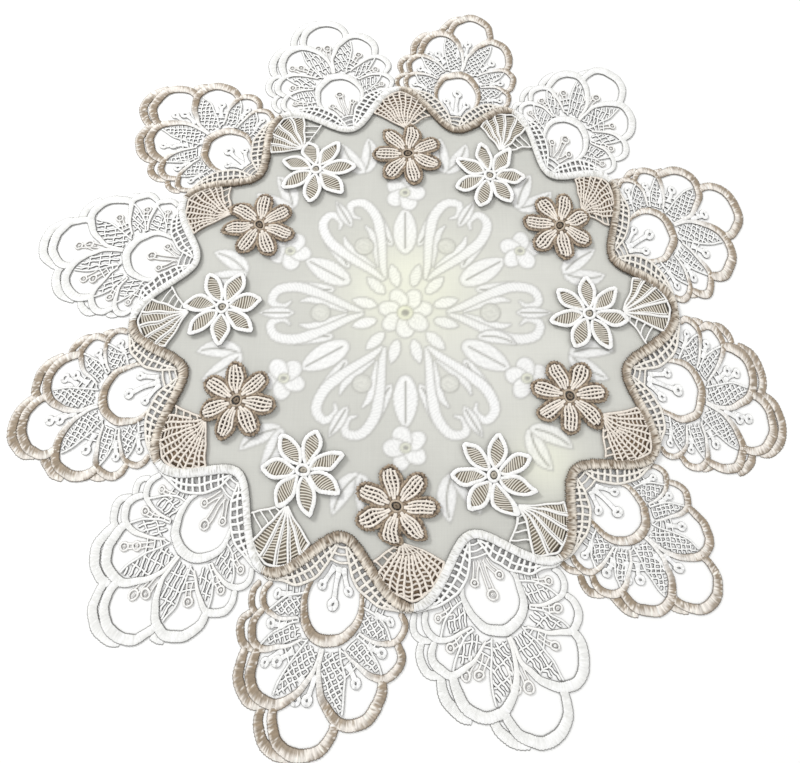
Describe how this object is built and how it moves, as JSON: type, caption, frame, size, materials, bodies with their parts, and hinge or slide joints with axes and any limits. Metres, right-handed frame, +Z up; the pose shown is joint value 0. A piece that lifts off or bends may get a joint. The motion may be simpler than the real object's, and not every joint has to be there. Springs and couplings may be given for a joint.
{
  "type": "lace placemat",
  "caption": "Round lace placemat: sheer figured ground, wavy braid, looped guipure scallops in white and taupe thread by turns, and raised flower-and-fan motifs.",
  "frame": {"origin": "middle of the underside, on the surface that the mat lies on", "axes": "+Z up out of the lace face; +Y away from the person at the table; +X to their right"},
  "size_m": [0.3744, 0.3901, 0.0033],
  "materials": {
    "organza": "sheer figured organza, grey-white",
    "white_thread": "white satin and guipure thread",
    "taupe_thread": "taupe and cream satin and guipure thread"
  },
  "bodies": {
    "root": {"ground": "organza", "scallop_015": "taupe_thread", "scallop_045": "white_thread", "scallop_075": "taupe_thread", "scallop_105": "white_thread", "scallop_135": "taupe_thread", "scallop_165": "white_thread", "scallop_195": "taupe_thread", "scallop_225": "white_thread", "scallop_255": "taupe_thread", "scallop_285": "white_thread", "scallop_315": "taupe_thread", "scallop_345": "taupe_thread", "blossom_000": "white_thread", "blossom_030": "taupe_thread", "blossom_060": "white_thread", "blossom_090": "taupe_thread", "blossom_120": "white_thread", "blossom_150": "taupe_thread", "blossom_180": "white_thread", "blossom_210": "taupe_thread", "blossom_240": "white_thread", "blossom_270": "taupe_thread", "blossom_300": "white_thread", "blossom_330": "taupe_thread"}
  },
  "joints": []
}
